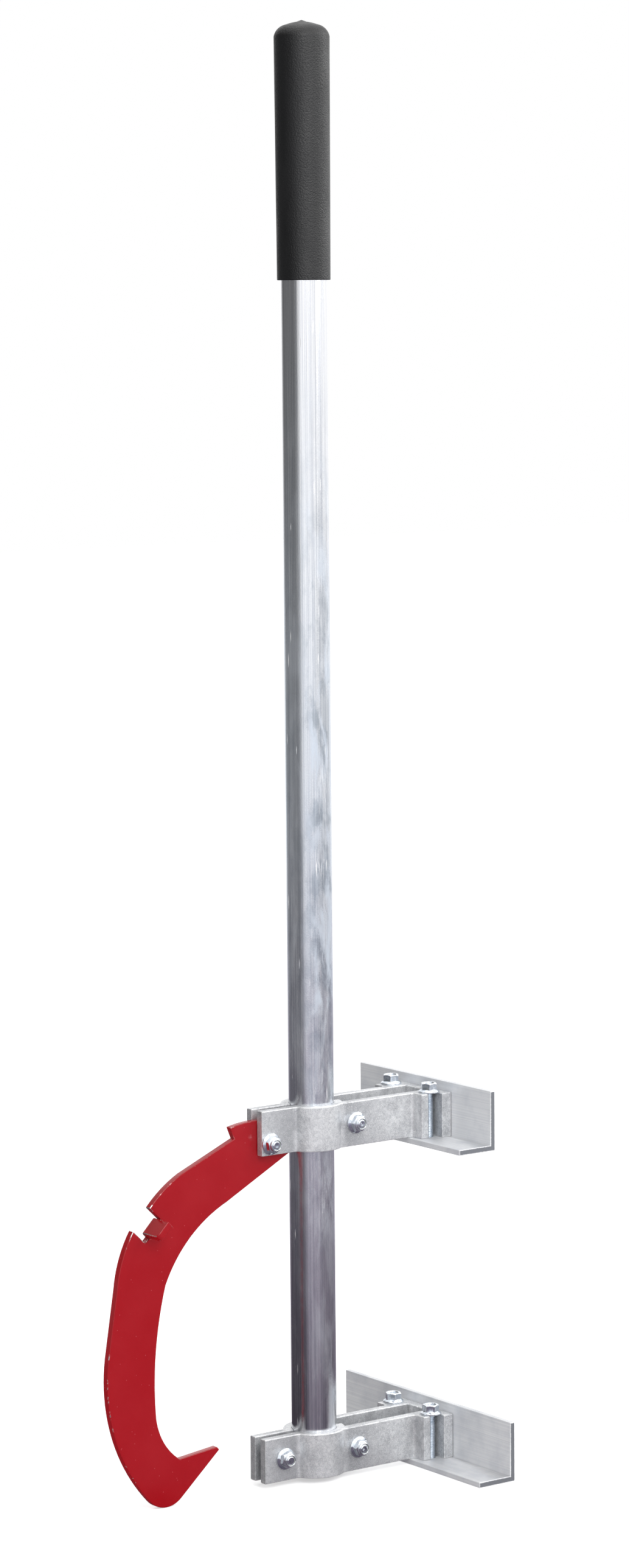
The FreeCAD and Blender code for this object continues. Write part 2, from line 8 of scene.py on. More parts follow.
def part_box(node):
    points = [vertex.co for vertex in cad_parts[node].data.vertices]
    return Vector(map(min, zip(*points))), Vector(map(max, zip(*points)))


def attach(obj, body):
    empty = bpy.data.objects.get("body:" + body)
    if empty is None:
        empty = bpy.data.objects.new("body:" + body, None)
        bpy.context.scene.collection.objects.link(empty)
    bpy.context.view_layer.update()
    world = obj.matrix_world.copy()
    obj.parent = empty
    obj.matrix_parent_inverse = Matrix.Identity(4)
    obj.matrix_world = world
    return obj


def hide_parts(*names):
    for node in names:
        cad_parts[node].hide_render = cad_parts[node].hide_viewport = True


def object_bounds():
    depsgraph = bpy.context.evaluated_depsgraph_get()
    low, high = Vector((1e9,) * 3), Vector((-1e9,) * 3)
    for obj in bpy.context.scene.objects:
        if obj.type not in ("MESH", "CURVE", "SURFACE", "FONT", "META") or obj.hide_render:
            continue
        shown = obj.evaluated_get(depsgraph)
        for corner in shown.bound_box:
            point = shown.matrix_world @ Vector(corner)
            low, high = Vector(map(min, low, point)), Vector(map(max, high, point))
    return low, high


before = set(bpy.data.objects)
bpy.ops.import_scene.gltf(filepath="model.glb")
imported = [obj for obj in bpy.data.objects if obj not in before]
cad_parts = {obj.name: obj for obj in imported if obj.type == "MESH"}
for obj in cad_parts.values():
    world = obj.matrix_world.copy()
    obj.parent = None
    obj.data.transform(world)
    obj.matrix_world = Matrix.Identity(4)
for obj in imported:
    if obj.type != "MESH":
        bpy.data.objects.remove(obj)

# Log lifting jack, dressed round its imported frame: metres, +Z up the handle, +X towards the feet,
# -Y the side of the lock nuts. Lengths named _mm are millimetres.

cad_low, cad_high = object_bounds()


# Handle tube
# A drawn tube of 6061 aluminium, 1 1/2 inch outside with a 1/8 inch wall, sawn off at both ends.
# It carries everything else: the grip is pushed over its top and the brackets are clamped round it.

def add_node(tree, kind, inputs=None, **settings):
    """Adds one node with its settings; each input is given a value or another node's output."""
    node = tree.nodes.new(kind)
    for name, value in settings.items():
        setattr(node, name, value)
    for socket, value in (inputs or {}).items():
        if isinstance(value, bpy.types.NodeSocket):
            tree.links.new(value, node.inputs[socket])
        else:
            node.inputs[socket].default_value = value
    return node


def colour(hex_code):
    """The linear colour of an sRGB hex value."""
    parts = [int(hex_code[i:i + 2], 16) / 255 for i in (1, 3, 5)]
    return (*[p / 12.92 if p <= 0.04045 else ((p + 0.055) / 1.055) ** 2.4 for p in parts], 1)


def start_finish(name):
    """A new material: its tree, its shader, and the place on the piece in millimetres."""
    material = bpy.data.materials.new(name)
    material.use_nodes = True
    tree = material.node_tree
    tree.nodes.clear()
    shader = add_node(tree, "ShaderNodeBsdfPrincipled")
    add_node(tree, "ShaderNodeOutputMaterial", {"Surface": shader.outputs["BSDF"]})
    where = add_node(tree, "ShaderNodeTexCoord").outputs["Object"]
    place_mm = add_node(tree, "ShaderNodeVectorMath", {0: where, "Scale": 1000}, operation="SCALE")
    return material, tree, shader, place_mm.outputs[0]


def stretched(tree, place_mm, sizes_mm):
    """The place divided by a size along each axis, so that a pattern of size 1 gets those sizes."""
    return add_node(tree, "ShaderNodeVectorMath", {0: place_mm, 1: [1 / size for size in sizes_mm]},
                    operation="MULTIPLY").outputs[0]


def new_piece(name, mesh, body, finish, replaced=()):
    """Shows a finished mesh as one piece of the jack."""
    piece = bpy.data.objects.new(name, mesh)
    bpy.context.scene.collection.objects.link(piece)
    mesh.materials.clear()
    mesh.materials.append(finish)
    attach(piece, body)
    if replaced:
        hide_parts(*replaced)
    return piece


TUBE_OUTER_MM = 38.1 / 2
TUBE_WALL_MM = 3.175
TUBE_LENGTH_MM = 1208.5
TUBE_RIM_MM = 0.4
TUBE_STEPS = 128
TUBE_SHARP_DEGREES = 30
DIE_LINES_MM = (1.1, 1.1, 320)
FROST_MM = (0.8, 0.8, 1.1)
CLOUDS_MM = (14, 14, 60)
STAINS_MM = (18, 18, 38)
DENT_GLINTS_MM = (3.6, 56, 1)
RUB_PATCHES_MM = (26, 26, 48)
RUB_LINE_MM = (1.1, 26)
RUB_LEAN_DEGREES = 8
SCUFFED_UP_TO_MM = (620, 930)
SCUFFED_DOWN_TO_MM = (420, 180)
LAID_DOWN_SIDE_MM = (-8, -19)


def tube_mesh():
    """The tube's section turned about its axis, with the saw's burr taken off the rims."""
    outer = TUBE_OUTER_MM
    inner = outer - TUBE_WALL_MM
    top = TUBE_LENGTH_MM
    rim = TUBE_RIM_MM
    section = [
        (inner, rim), (inner + rim, 0), (outer - rim, 0), (outer, rim),
        (outer, top - rim), (outer - rim, top), (inner + rim, top), (inner, top - rim),
    ]
    mesh = bmesh.new()
    rings = []
    for radius, z in section:
        ring = []
        for step in range(TUBE_STEPS):
            turn = 2 * math.pi * step / TUBE_STEPS
            ring.append(mesh.verts.new((radius * math.cos(turn) / 1000,
                                        radius * math.sin(turn) / 1000, z / 1000)))
        rings.append(ring)
    for ring, after in zip(rings, rings[1:] + rings[:1]):
        for step in range(TUBE_STEPS):
            nearby = (step + 1) % TUBE_STEPS
            face = mesh.faces.new((ring[step], ring[nearby], after[nearby], after[step]))
            face.smooth = True
    bmesh.ops.recalc_face_normals(mesh, faces=mesh.faces)
    made = bpy.data.meshes.new("handle_tube")
    mesh.to_mesh(made)
    mesh.free()
    made.set_sharp_from_angle(angle=math.radians(TUBE_SHARP_DEGREES))
    return made


def drawn_aluminium():
    """Drawn 6061 tube: bright, with fine lines along its length from the die, a frosty grain, cloudy
    scuffs where it is handled and dragged, and small dents where it has been struck, each painted as
    a near-white glint."""
    material, tree, shader, place = start_finish("drawn_aluminium")
    # Die lines are under 0.1 mm apart on the real tube; drawn 1 mm wide so that they show
    lines = add_node(tree, "ShaderNodeTexNoise", {
        "Vector": stretched(tree, place, DIE_LINES_MM), "Scale": 1, "Detail": 4, "Roughness": 0.65})
    lined = add_node(tree, "ShaderNodeMapRange", {
        "Value": lines.outputs["Fac"], "From Min": 0.3, "From Max": 0.7})
    metal = add_node(tree, "ShaderNodeMix", {
        0: lined.outputs[0], 6: colour("#bfc2ca"), 7: colour("#fafafb")}, data_type="RGBA")
    along = add_node(tree, "ShaderNodeSeparateXYZ", {0: place})
    # The place on the tube's skin unrolled: millimetres round it, seam at the back, and along it
    front = add_node(tree, "ShaderNodeMath", {0: along.outputs["Y"], 1: -1}, operation="MULTIPLY")
    turn = add_node(tree, "ShaderNodeMath", {0: along.outputs["X"], 1: front.outputs[0]},
                    operation="ARCTAN2")
    around = add_node(tree, "ShaderNodeMath", {0: turn.outputs[0], 1: TUBE_OUTER_MM},
                      operation="MULTIPLY")
    unrolled = add_node(tree, "ShaderNodeCombineXYZ", {
        "X": around.outputs[0], "Y": along.outputs["Z"]})
    # Scuffs lie between the brackets and the middle of the handle, on the side that is laid down;
    # each pair of places is where they are full and where they have faded out
    full, faded = SCUFFED_UP_TO_MM
    below_grip = add_node(tree, "ShaderNodeMapRange", {
        "Value": along.outputs["Z"], "From Min": faded, "From Max": full})
    full, faded = SCUFFED_DOWN_TO_MM
    above_bracket = add_node(tree, "ShaderNodeMapRange", {
        "Value": along.outputs["Z"], "From Min": faded, "From Max": full, "To Min": 0.25})
    full, faded = LAID_DOWN_SIDE_MM
    laid_down = add_node(tree, "ShaderNodeMapRange", {
        "Value": around.outputs[0], "From Min": faded, "From Max": full, "To Min": 0.3})
    between = add_node(tree, "ShaderNodeMath", {
        0: below_grip.outputs[0], 1: above_bracket.outputs[0]}, operation="MULTIPLY")
    handled = add_node(tree, "ShaderNodeMath", {
        0: between.outputs[0], 1: laid_down.outputs[0]}, operation="MULTIPLY")
    clouds = add_node(tree, "ShaderNodeTexNoise", {
        "Vector": stretched(tree, place, CLOUDS_MM), "Scale": 1, "Detail": 6, "Roughness": 0.62,
        "Distortion": 0.6})
    cloud = add_node(tree, "ShaderNodeMapRange", {
        "Value": clouds.outputs["Fac"], "From Min": 0.46, "From Max": 0.64})
    cloudy = add_node(tree, "ShaderNodeMath", {
        0: cloud.outputs[0], 1: handled.outputs[0]}, operation="MULTIPLY")
    rub_width, rub_length = RUB_LINE_MM
    rubs = add_node(tree, "ShaderNodeMapping", {
        "Vector": unrolled.outputs[0], "Rotation": (0, 0, math.radians(RUB_LEAN_DEGREES)),
        "Scale": (1 / rub_width, 1 / rub_length, 1)})
    rub_lines = add_node(tree, "ShaderNodeTexNoise", {
        "Vector": rubs.outputs[0], "Scale": 1, "Detail": 5, "Roughness": 0.72})
    rub_patches = add_node(tree, "ShaderNodeTexNoise", {
        "Vector": stretched(tree, place, RUB_PATCHES_MM), "Scale": 1, "Detail": 2})
    rub_place = add_node(tree, "ShaderNodeMapRange", {
        "Value": rub_patches.outputs["Fac"], "From Min": 0.5, "From Max": 0.6})
    rub_line = add_node(tree, "ShaderNodeMapRange", {
        "Value": rub_lines.outputs["Fac"], "From Min": 0.5, "From Max": 0.66})
    rub = add_node(tree, "ShaderNodeMath", {
        0: rub_place.outputs[0], 1: rub_line.outputs[0]}, operation="MULTIPLY")
    rubbed = add_node(tree, "ShaderNodeMath", {
        0: rub.outputs[0], 1: handled.outputs[0]}, operation="MULTIPLY")
    # Dents: a dip in the relief, plus a painted glint, near white and matt, where each one is
    dent_glint_cells = add_node(tree, "ShaderNodeTexVoronoi", {
        "Vector": stretched(tree, unrolled.outputs[0], DENT_GLINTS_MM), "Scale": 1}, feature="F1")
    spot = add_node(tree, "ShaderNodeMapRange", {
        "Value": dent_glint_cells.outputs["Distance"], "From Min": 0.13, "From Max": 0.06})
    dent_glint_place = add_node(tree, "ShaderNodeMapRange", {
        "Value": rub_patches.outputs["Fac"], "From Min": 0.45, "From Max": 0.5})
    dent_glint = add_node(tree, "ShaderNodeMath", {
        0: spot.outputs[0], 1: dent_glint_place.outputs[0]}, operation="MULTIPLY")
    stains = add_node(tree, "ShaderNodeTexNoise", {
        "Vector": stretched(tree, place, STAINS_MM), "Scale": 1, "Detail": 5, "Roughness": 0.6})
    stain = add_node(tree, "ShaderNodeMapRange", {
        "Value": stains.outputs["Fac"], "From Min": 0.52, "From Max": 0.42, "To Max": 0.6})
    stained = add_node(tree, "ShaderNodeMath", {
        0: stain.outputs[0], 1: handled.outputs[0]}, operation="MULTIPLY")
    dimmed = add_node(tree, "ShaderNodeMix", {
        0: stained.outputs[0], 6: metal.outputs[2], 7: colour("#99a2ac")}, data_type="RGBA")
    clouded = add_node(tree, "ShaderNodeMix", {
        0: cloudy.outputs[0], 6: dimmed.outputs[2], 7: colour("#d3dbe5")}, data_type="RGBA")
    scuffed = add_node(tree, "ShaderNodeMix", {
        0: rubbed.outputs[0], 6: clouded.outputs[2], 7: colour("#f3f4f7")}, data_type="RGBA")
    # Painted glints: the dents are painted near white, #fdfdfe
    dent_glinted = add_node(tree, "ShaderNodeMix", {
        0: dent_glint.outputs[0], 6: scuffed.outputs[2], 7: colour("#fdfdfe")}, data_type="RGBA")
    tree.links.new(dent_glinted.outputs[2], shader.inputs["Base Color"])
    # Scuffs are a fine powder, so they scatter light where the clean tube mirrors; the painted glints
    # on the dents are matt in the same way
    powder = add_node(tree, "ShaderNodeMath", {
        0: rubbed.outputs[0], 1: cloudy.outputs[0]}, operation="ADD")
    scattering = add_node(tree, "ShaderNodeMath", {
        0: powder.outputs[0], 1: 0.42}, operation="MULTIPLY")
    powder_and_glint = add_node(tree, "ShaderNodeMath", {
        0: scattering.outputs[0], 1: dent_glint.outputs[0]}, operation="MAXIMUM")
    bare = add_node(tree, "ShaderNodeMapRange", {
        "Value": powder_and_glint.outputs[0], "To Min": 1, "To Max": 0.1})
    tree.links.new(bare.outputs[0], shader.inputs["Metallic"])
    dulled = add_node(tree, "ShaderNodeMapRange", {
        "Value": cloudy.outputs[0], "To Min": 0.17, "To Max": 0.4})
    rough = add_node(tree, "ShaderNodeMath", {
        0: rubbed.outputs[0], 1: 0.18, 2: dulled.outputs[0]}, operation="MULTIPLY_ADD")
    tree.links.new(rough.outputs[0], shader.inputs["Roughness"])
    # The frosty grain is about 0.2 mm on the real tube; drawn 0.8 mm so that it shows
    grain = add_node(tree, "ShaderNodeTexNoise", {
        "Vector": stretched(tree, place, FROST_MM), "Scale": 1, "Detail": 3, "Roughness": 0.6})
    surface = add_node(tree, "ShaderNodeMath", {
        0: grain.outputs["Fac"], 1: 0.8, 2: lines.outputs["Fac"]}, operation="MULTIPLY_ADD")
    relief = add_node(tree, "ShaderNodeMath", {
        0: dent_glint.outputs[0], 1: -2.5, 2: surface.outputs[0]}, operation="MULTIPLY_ADD")
    bump = add_node(tree, "ShaderNodeBump", {
        "Height": relief.outputs[0], "Strength": 0.5, "Distance": 0.00013})
    tree.links.new(bump.outputs[0], shader.inputs["Normal"])
    return material


new_piece("handle_tube", tube_mesh(), "frame", drawn_aluminium(), ["pole_tube"])


# Hand grip
# A dipped and moulded sleeve of black vinyl, pushed over the top of the tube, with a closed domed
# end. Its skin is finely pebbled, and its mouth is cut off square.

ROUNDED_FROM_DEGREES = 25
FLAT_WITHIN_DEGREES = 0.5
SHARP_FROM_DEGREES = 35
# Corners nearer together than this, in metres, are one
SAME_PLACE = 1e-6
GRIP_EDGE_MM = 0.6
PEBBLES_MM = (1.1, 1.1, 1.1)
VINYL_GRAIN_MM = (0.8, 0.8, 0.8)
SMEARS_MM = (14, 14, 45)


def softened(node, radius_mm, steps=2):
    """A copy of a CAD piece with its outer edges rounded over; the rounds are marked as worn."""
    mesh = bmesh.new()
    mesh.from_mesh(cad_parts[node].data)
    bmesh.ops.remove_doubles(mesh, verts=mesh.verts, dist=SAME_PLACE)
    bmesh.ops.dissolve_limit(mesh, angle_limit=math.radians(FLAT_WITHIN_DEGREES),
                             verts=mesh.verts, edges=mesh.edges)
    bmesh.ops.triangulate(mesh, faces=mesh.faces)
    sharp = math.radians(ROUNDED_FROM_DEGREES)
    edges = [edge for edge in mesh.edges
             if len(edge.link_faces) == 2 and edge.is_convex and edge.calc_face_angle() > sharp]
    worn = mesh.faces.layers.float.new("worn")
    rounded = bmesh.ops.bevel(mesh, geom=edges, offset=radius_mm / 1000, offset_type="OFFSET",
                              segments=steps, profile=0.5, affect="EDGES", clamp_overlap=False)
    for face in rounded["faces"]:
        face[worn] = 1
    for face in mesh.faces:
        face.smooth = True
    made = bpy.data.meshes.new(node)
    mesh.to_mesh(made)
    mesh.free()
    made.set_sharp_from_angle(angle=math.radians(SHARP_FROM_DEGREES))
    return made


def dressed_copy(name, node, radius_mm, body, finish):
    """The CAD piece with softened edges, standing for its node."""
    piece = new_piece(name, softened(node, radius_mm), body, finish, [node])
    weighted = piece.modifiers.new("even_normals", "WEIGHTED_NORMAL")
    weighted.keep_sharp = True
    return piece


def pebbled_vinyl():
    """Dipped black vinyl: a matt skin of fine pebbles that catch a speckled light."""
    material, tree, shader, place = start_finish("pebbled_vinyl")
    # Pebbles are about 0.3 mm across on a real grip; drawn 1 mm across so that they show
    pebbles = add_node(tree, "ShaderNodeTexVoronoi", {
        "Vector": stretched(tree, place, PEBBLES_MM), "Scale": 1}, feature="SMOOTH_F1")
    grain = add_node(tree, "ShaderNodeTexNoise", {
        "Vector": stretched(tree, place, VINYL_GRAIN_MM), "Scale": 1, "Detail": 3})
    smears = add_node(tree, "ShaderNodeTexNoise", {
        "Vector": stretched(tree, place, SMEARS_MM), "Scale": 1, "Detail": 3})
    skin = add_node(tree, "ShaderNodeMix", {
        0: smears.outputs["Fac"], 6: colour("#060607"), 7: colour("#0e0e10")}, data_type="RGBA")
    tree.links.new(skin.outputs[2], shader.inputs["Base Color"])
    shader.inputs["Specular IOR Level"].default_value = 0.55
    rough = add_node(tree, "ShaderNodeMapRange", {
        "Value": smears.outputs["Fac"], "From Min": 0.3, "From Max": 0.7,
        "To Min": 0.4, "To Max": 0.55})
    tree.links.new(rough.outputs[0], shader.inputs["Roughness"])
    height = add_node(tree, "ShaderNodeMath", {
        0: grain.outputs["Fac"], 1: pebbles.outputs["Distance"]}, operation="SUBTRACT")
    bump = add_node(tree, "ShaderNodeBump", {
        "Height": height.outputs[0], "Strength": 0.8, "Distance": 0.0003})
    tree.links.new(bump.outputs[0], shader.inputs["Normal"])
    return material


dressed_copy("hand_grip_sleeve", "hand_grip", GRIP_EDGE_MM, "frame", pebbled_vinyl())


# Clamp halves
# Two pairs of halves sawn from one extruded aluminium section and tumbled: ear, half ring, arm and
# slotted block. Each pair is drawn together round the tube by a bolt through its ears and arms.

CLAMP_EDGE_MM = 0.45
BLOTCHES_MM = (3.2, 3.2, 3.2)
SPECKS_MM = (0.6, 0.6, 0.6)
DULL_AREAS_MM = (20, 20, 26)
CORNER_SHADE_RISE_MM = (26, 30)
CORNER_SHADE_FADE_MM = (32, 74)


def tumbled_aluminium():
    """Extruded 6061 tumbled with stone: mottled mid grey with fine light and dark specks, bright
    where the stones have rounded the edges, and painted shade in the corners beside the ring."""
    material, tree, shader, place = start_finish("tumbled_aluminium")
    blotches = add_node(tree, "ShaderNodeTexNoise", {
        "Vector": stretched(tree, place, BLOTCHES_MM), "Scale": 1, "Detail": 6, "Roughness": 0.75})
    # The specks are about 0.2 mm on the real halves; drawn 0.6 mm so that they show
    specks = add_node(tree, "ShaderNodeTexNoise", {
        "Vector": stretched(tree, place, SPECKS_MM), "Scale": 1, "Detail": 3, "Roughness": 0.7})
    areas = add_node(tree, "ShaderNodeTexNoise", {
        "Vector": stretched(tree, place, DULL_AREAS_MM), "Scale": 1, "Detail": 4, "Roughness": 0.6})
    mottled = add_node(tree, "ShaderNodeMix", {
        0: 0.5, 2: blotches.outputs["Fac"], 3: specks.outputs["Fac"]})
    shaded = add_node(tree, "ShaderNodeMapRange", {
        "Value": mottled.outputs[0], "From Min": 0.36, "From Max": 0.62})
    metal = add_node(tree, "ShaderNodeMix", {
        0: shaded.outputs[0], 6: colour("#b4b6ba"), 7: colour("#f8f9fa")}, data_type="RGBA")
    uneven = add_node(tree, "ShaderNodeMapRange", {
        "Value": areas.outputs["Fac"], "From Min": 0.46, "From Max": 0.7, "To Max": 0.6})
    # Painted shade: the corners beside the ring are painted darker, fading away from it; both
    # measures are taken from the tube's axis
    across = add_node(tree, "ShaderNodeVectorMath", {0: place, 1: (1, 1, 0)}, operation="MULTIPLY")
    off_axis = add_node(tree, "ShaderNodeVectorMath", {0: across.outputs[0]}, operation="LENGTH")
    corner_shade_rise = add_node(tree, "ShaderNodeMapRange", {
        "Value": off_axis.outputs["Value"], "From Min": CORNER_SHADE_RISE_MM[0], "From Max": CORNER_SHADE_RISE_MM[1]})
    corner_shade_fade = add_node(tree, "ShaderNodeMapRange", {
        "Value": off_axis.outputs["Value"], "From Min": CORNER_SHADE_FADE_MM[0], "From Max": CORNER_SHADE_FADE_MM[1],
        "To Min": 0.6, "To Max": 0})
    corner = add_node(tree, "ShaderNodeMath", {
        0: corner_shade_rise.outputs[0], 1: corner_shade_fade.outputs[0]}, operation="MULTIPLY")
    dull_areas_and_corner_shade = add_node(tree, "ShaderNodeMath", {
        0: corner.outputs[0], 1: uneven.outputs[0]}, operation="MAXIMUM")
    # Random dull areas, together with the painted corner shade, go towards #94969b
    duller_and_shaded = add_node(tree, "ShaderNodeMix", {
        0: dull_areas_and_corner_shade.outputs[0], 6: metal.outputs[2], 7: colour("#94969b")}, data_type="RGBA")
    glint = add_node(tree, "ShaderNodeMapRange", {
        "Value": specks.outputs["Fac"], "From Min": 0.58, "From Max": 0.66})
    glinting = add_node(tree, "ShaderNodeMix", {
        0: glint.outputs[0], 6: duller_and_shaded.outputs[2], 7: colour("#fafafa")}, data_type="RGBA")
    worn = add_node(tree, "ShaderNodeAttribute", attribute_name="worn")
    edge = add_node(tree, "ShaderNodeMapRange", {
        "Value": blotches.outputs["Fac"], "From Min": 0.35, "From Max": 0.6, "To Max": 0.85})
    bright = add_node(tree, "ShaderNodeMath", {
        0: worn.outputs["Fac"], 1: edge.outputs[0]}, operation="MULTIPLY")
    edged = add_node(tree, "ShaderNodeMix", {
        0: bright.outputs[0], 6: glinting.outputs[2], 7: colour("#f6f6f7")}, data_type="RGBA")
    tree.links.new(edged.outputs[2], shader.inputs["Base Color"])
    shader.inputs["Metallic"].default_value = 0.65
    dull = add_node(tree, "ShaderNodeMapRange", {
        "Value": shaded.outputs[0], "To Min": 0.55, "To Max": 0.42})
    rough = add_node(tree, "ShaderNodeMath", {
        0: bright.outputs[0], 1: -0.15, 2: dull.outputs[0]}, operation="MULTIPLY_ADD")
    tree.links.new(rough.outputs[0], shader.inputs["Roughness"])
    bump = add_node(tree, "ShaderNodeBump", {
        "Height": mottled.outputs[0], "Strength": 0.7, "Distance": 0.0003})
    tree.links.new(bump.outputs[0], shader.inputs["Normal"])
    return material


clamp_finish = tumbled_aluminium()
for place_name in ("upper", "lower"):
    for half in ("front", "rear"):
        dressed_copy(f"{place_name}_clamp_half_{half}", f"{place_name}_clamp_{half}", CLAMP_EDGE_MM,
                     "frame", clamp_finish)


# Foot angle bars
# Two lengths sawn from 2 by 1 1/2 by 3/16 inch extruded aluminium angle, left as they come from the
# mill. The bolts through the clamps' slotted blocks are screwed into their flat legs.

BAR_EDGE_MM = 0.25
MILL_LINES_MM = (0.8, 300, 0.8)
SMUDGES_MM = (18, 26, 30)
BAR_DUST_MM = (0.7, 0.9, 0.7)


def mill_aluminium():
    """Extruded 6063 as it comes from the mill: faint die lines along the bar, soft smudges, and dull
    sawn ends."""
    material, tree, shader, place = start_finish("mill_aluminium")
    # Die lines are about 0.1 mm apart on a real bar; drawn 0.8 mm apart so that they show
    lines = add_node(tree, "ShaderNodeTexNoise", {
        "Vector": stretched(tree, place, MILL_LINES_MM), "Scale": 1, "Detail": 4, "Roughness": 0.6})
    smudges = add_node(tree, "ShaderNodeTexNoise", {
        "Vector": stretched(tree, place, SMUDGES_MM), "Scale": 1, "Detail": 4, "Roughness": 0.55})
    dust = add_node(tree, "ShaderNodeTexNoise", {
        "Vector": stretched(tree, place, BAR_DUST_MM), "Scale": 1, "Detail": 2})
    lined = add_node(tree, "ShaderNodeMapRange", {
        "Value": lines.outputs["Fac"], "From Min": 0.3, "From Max": 0.7})
    metal = add_node(tree, "ShaderNodeMix", {
        0: lined.outputs[0], 6: colour("#d9dbdf"), 7: colour("#eeeff0")}, data_type="RGBA")
    smudged = add_node(tree, "ShaderNodeMapRange", {
        "Value": smudges.outputs["Fac"], "From Min": 0.45, "From Max": 0.7, "To Max": 0.4})
    greyer = add_node(tree, "ShaderNodeMix", {
        0: smudged.outputs[0], 6: metal.outputs[2], 7: colour("#b4b9c3")}, data_type="RGBA")
    facing = add_node(tree, "ShaderNodeTexCoord")
    sides = add_node(tree, "ShaderNodeSeparateXYZ", {0: facing.outputs["Normal"]})
    endwards = add_node(tree, "ShaderNodeMath", {0: sides.outputs["Y"]}, operation="ABSOLUTE")
    end = add_node(tree, "ShaderNodeMapRange", {
        "Value": endwards.outputs[0], "From Min": 0.85, "From Max": 0.95})
    sawn = add_node(tree, "ShaderNodeMix", {
        0: end.outputs[0], 6: greyer.outputs[2], 7: colour("#7d8086")}, data_type="RGBA")
    worn = add_node(tree, "ShaderNodeAttribute", attribute_name="worn")
    edge = add_node(tree, "ShaderNodeMapRange", {
        "Value": dust.outputs["Fac"], "From Min": 0.35, "From Max": 0.65, "To Max": 0.8})
    bright = add_node(tree, "ShaderNodeMath", {
        0: worn.outputs["Fac"], 1: edge.outputs[0]}, operation="MULTIPLY")
    edged = add_node(tree, "ShaderNodeMix", {
        0: bright.outputs[0], 6: sawn.outputs[2], 7: colour("#f3f3f4")}, data_type="RGBA")
    tree.links.new(edged.outputs[2], shader.inputs["Base Color"])
    shader.inputs["Metallic"].default_value = 0.3
    rough = add_node(tree, "ShaderNodeMapRange", {
        "Value": end.outputs[0], "To Min": 0.45, "To Max": 0.55})
    tree.links.new(rough.outputs[0], shader.inputs["Roughness"])
    relief = add_node(tree, "ShaderNodeMath", {
        0: dust.outputs["Fac"], 1: lines.outputs["Fac"]}, operation="ADD")
    bump = add_node(tree, "ShaderNodeBump", {
        "Height": relief.outputs[0], "Strength": 0.2, "Distance": 0.00006})
    tree.links.new(bump.outputs[0], shader.inputs["Normal"])
    return material


angle_finish = mill_aluminium()
for place_name in ("upper", "lower"):
    dressed_copy(f"{place_name}_angle_bar", f"{place_name}_foot_angle", BAR_EDGE_MM,
                 "frame", angle_finish)


# Hook
# Cut from 1/4 inch mild steel plate, with a notch and a folded tab near its point, powder coated
# and hung on the pivot bolt between the upper ears.

HOOK_EDGE_MM = 0.7
TONE_MM = (30, 30, 30)
ORANGE_PEEL_MM = (2.2, 2.2, 2.2)
ENAMEL_DUST_MM = (6, 6, 6)
CHIPS_MM = (7, 7, 7)
CHIPPED_PLACES_MM = ((-166.6, 248.1, 5), (-173, 226, 6), (-182.4, 231.2, 6), (-208.6, 130.5, 4))


def red_enamel():
    """Baked enamel on steel plate: deep glossy red with a slight orange peel and fine dust in it,
    thin or chipped off at corners and notches so that pale steel shows."""
    material, tree, shader, place = start_finish("red_enamel")
    tone = add_node(tree, "ShaderNodeTexNoise", {
        "Vector": stretched(tree, place, TONE_MM), "Scale": 1, "Detail": 3})
    orange_peel = add_node(tree, "ShaderNodeTexNoise", {
        "Vector": stretched(tree, place, ORANGE_PEEL_MM), "Scale": 1, "Detail": 2})
    dust = add_node(tree, "ShaderNodeTexVoronoi", {
        "Vector": stretched(tree, place, ENAMEL_DUST_MM), "Scale": 1}, feature="F1")
    dusty = add_node(tree, "ShaderNodeMapRange", {
        "Value": dust.outputs["Distance"], "From Min": 0.07, "From Max": 0.04})
    red = add_node(tree, "ShaderNodeMix", {
        0: tone.outputs["Fac"], 6: colour("#9b0b15"), 7: colour("#a70f1b")}, data_type="RGBA")
    chips = add_node(tree, "ShaderNodeTexNoise", {
        "Vector": stretched(tree, place, CHIPS_MM), "Scale": 1, "Detail": 5, "Roughness": 0.65})
    worn = add_node(tree, "ShaderNodeAttribute", attribute_name="worn")
    # Knocked corners: each is a place along X and Z on the plate, and how far the chips reach
    on_plate = add_node(tree, "ShaderNodeVectorMath", {0: place, 1: (1, 0, 1)}, operation="MULTIPLY")
    thinner = chips.outputs["Fac"]
    for x, z, reach in CHIPPED_PLACES_MM:
        away = add_node(tree, "ShaderNodeVectorMath", {0: on_plate.outputs[0], 1: (x, 0, z)},
                        operation="DISTANCE")
        near = add_node(tree, "ShaderNodeMapRange", {
            "Value": away.outputs["Value"], "From Min": reach, "From Max": reach / 2, "To Max": 0.25})
        thinner = add_node(tree, "ShaderNodeMath", {0: thinner, 1: near.outputs[0]},
                           operation="ADD").outputs[0]
    thin = add_node(tree, "ShaderNodeMapRange", {"Value": thinner, "From Min": 0.6, "From Max": 0.68})
    chipped = add_node(tree, "ShaderNodeMath", {
        0: worn.outputs["Fac"], 1: thin.outputs[0]}, operation="MULTIPLY")
    bare = add_node(tree, "ShaderNodeMix", {
        0: chipped.outputs[0], 6: red.outputs[2], 7: colour("#efe6e4")}, data_type="RGBA")
    speckled = add_node(tree, "ShaderNodeMix", {
        0: dusty.outputs[0], 6: bare.outputs[2], 7: colour("#c4545c")}, data_type="RGBA")
    tree.links.new(speckled.outputs[2], shader.inputs["Base Color"])
    tree.links.new(chipped.outputs[0], shader.inputs["Metallic"])
    rough = add_node(tree, "ShaderNodeMapRange", {
        "Value": tone.outputs["Fac"], "From Min": 0.3, "From Max": 0.7,
        "To Min": 0.12, "To Max": 0.2})
    tree.links.new(rough.outputs[0], shader.inputs["Roughness"])
    bump = add_node(tree, "ShaderNodeBump", {
        "Height": orange_peel.outputs["Fac"], "Strength": 0.3, "Distance": 0.00015})
    tree.links.new(bump.outputs[0], shader.inputs["Normal"])
    return material


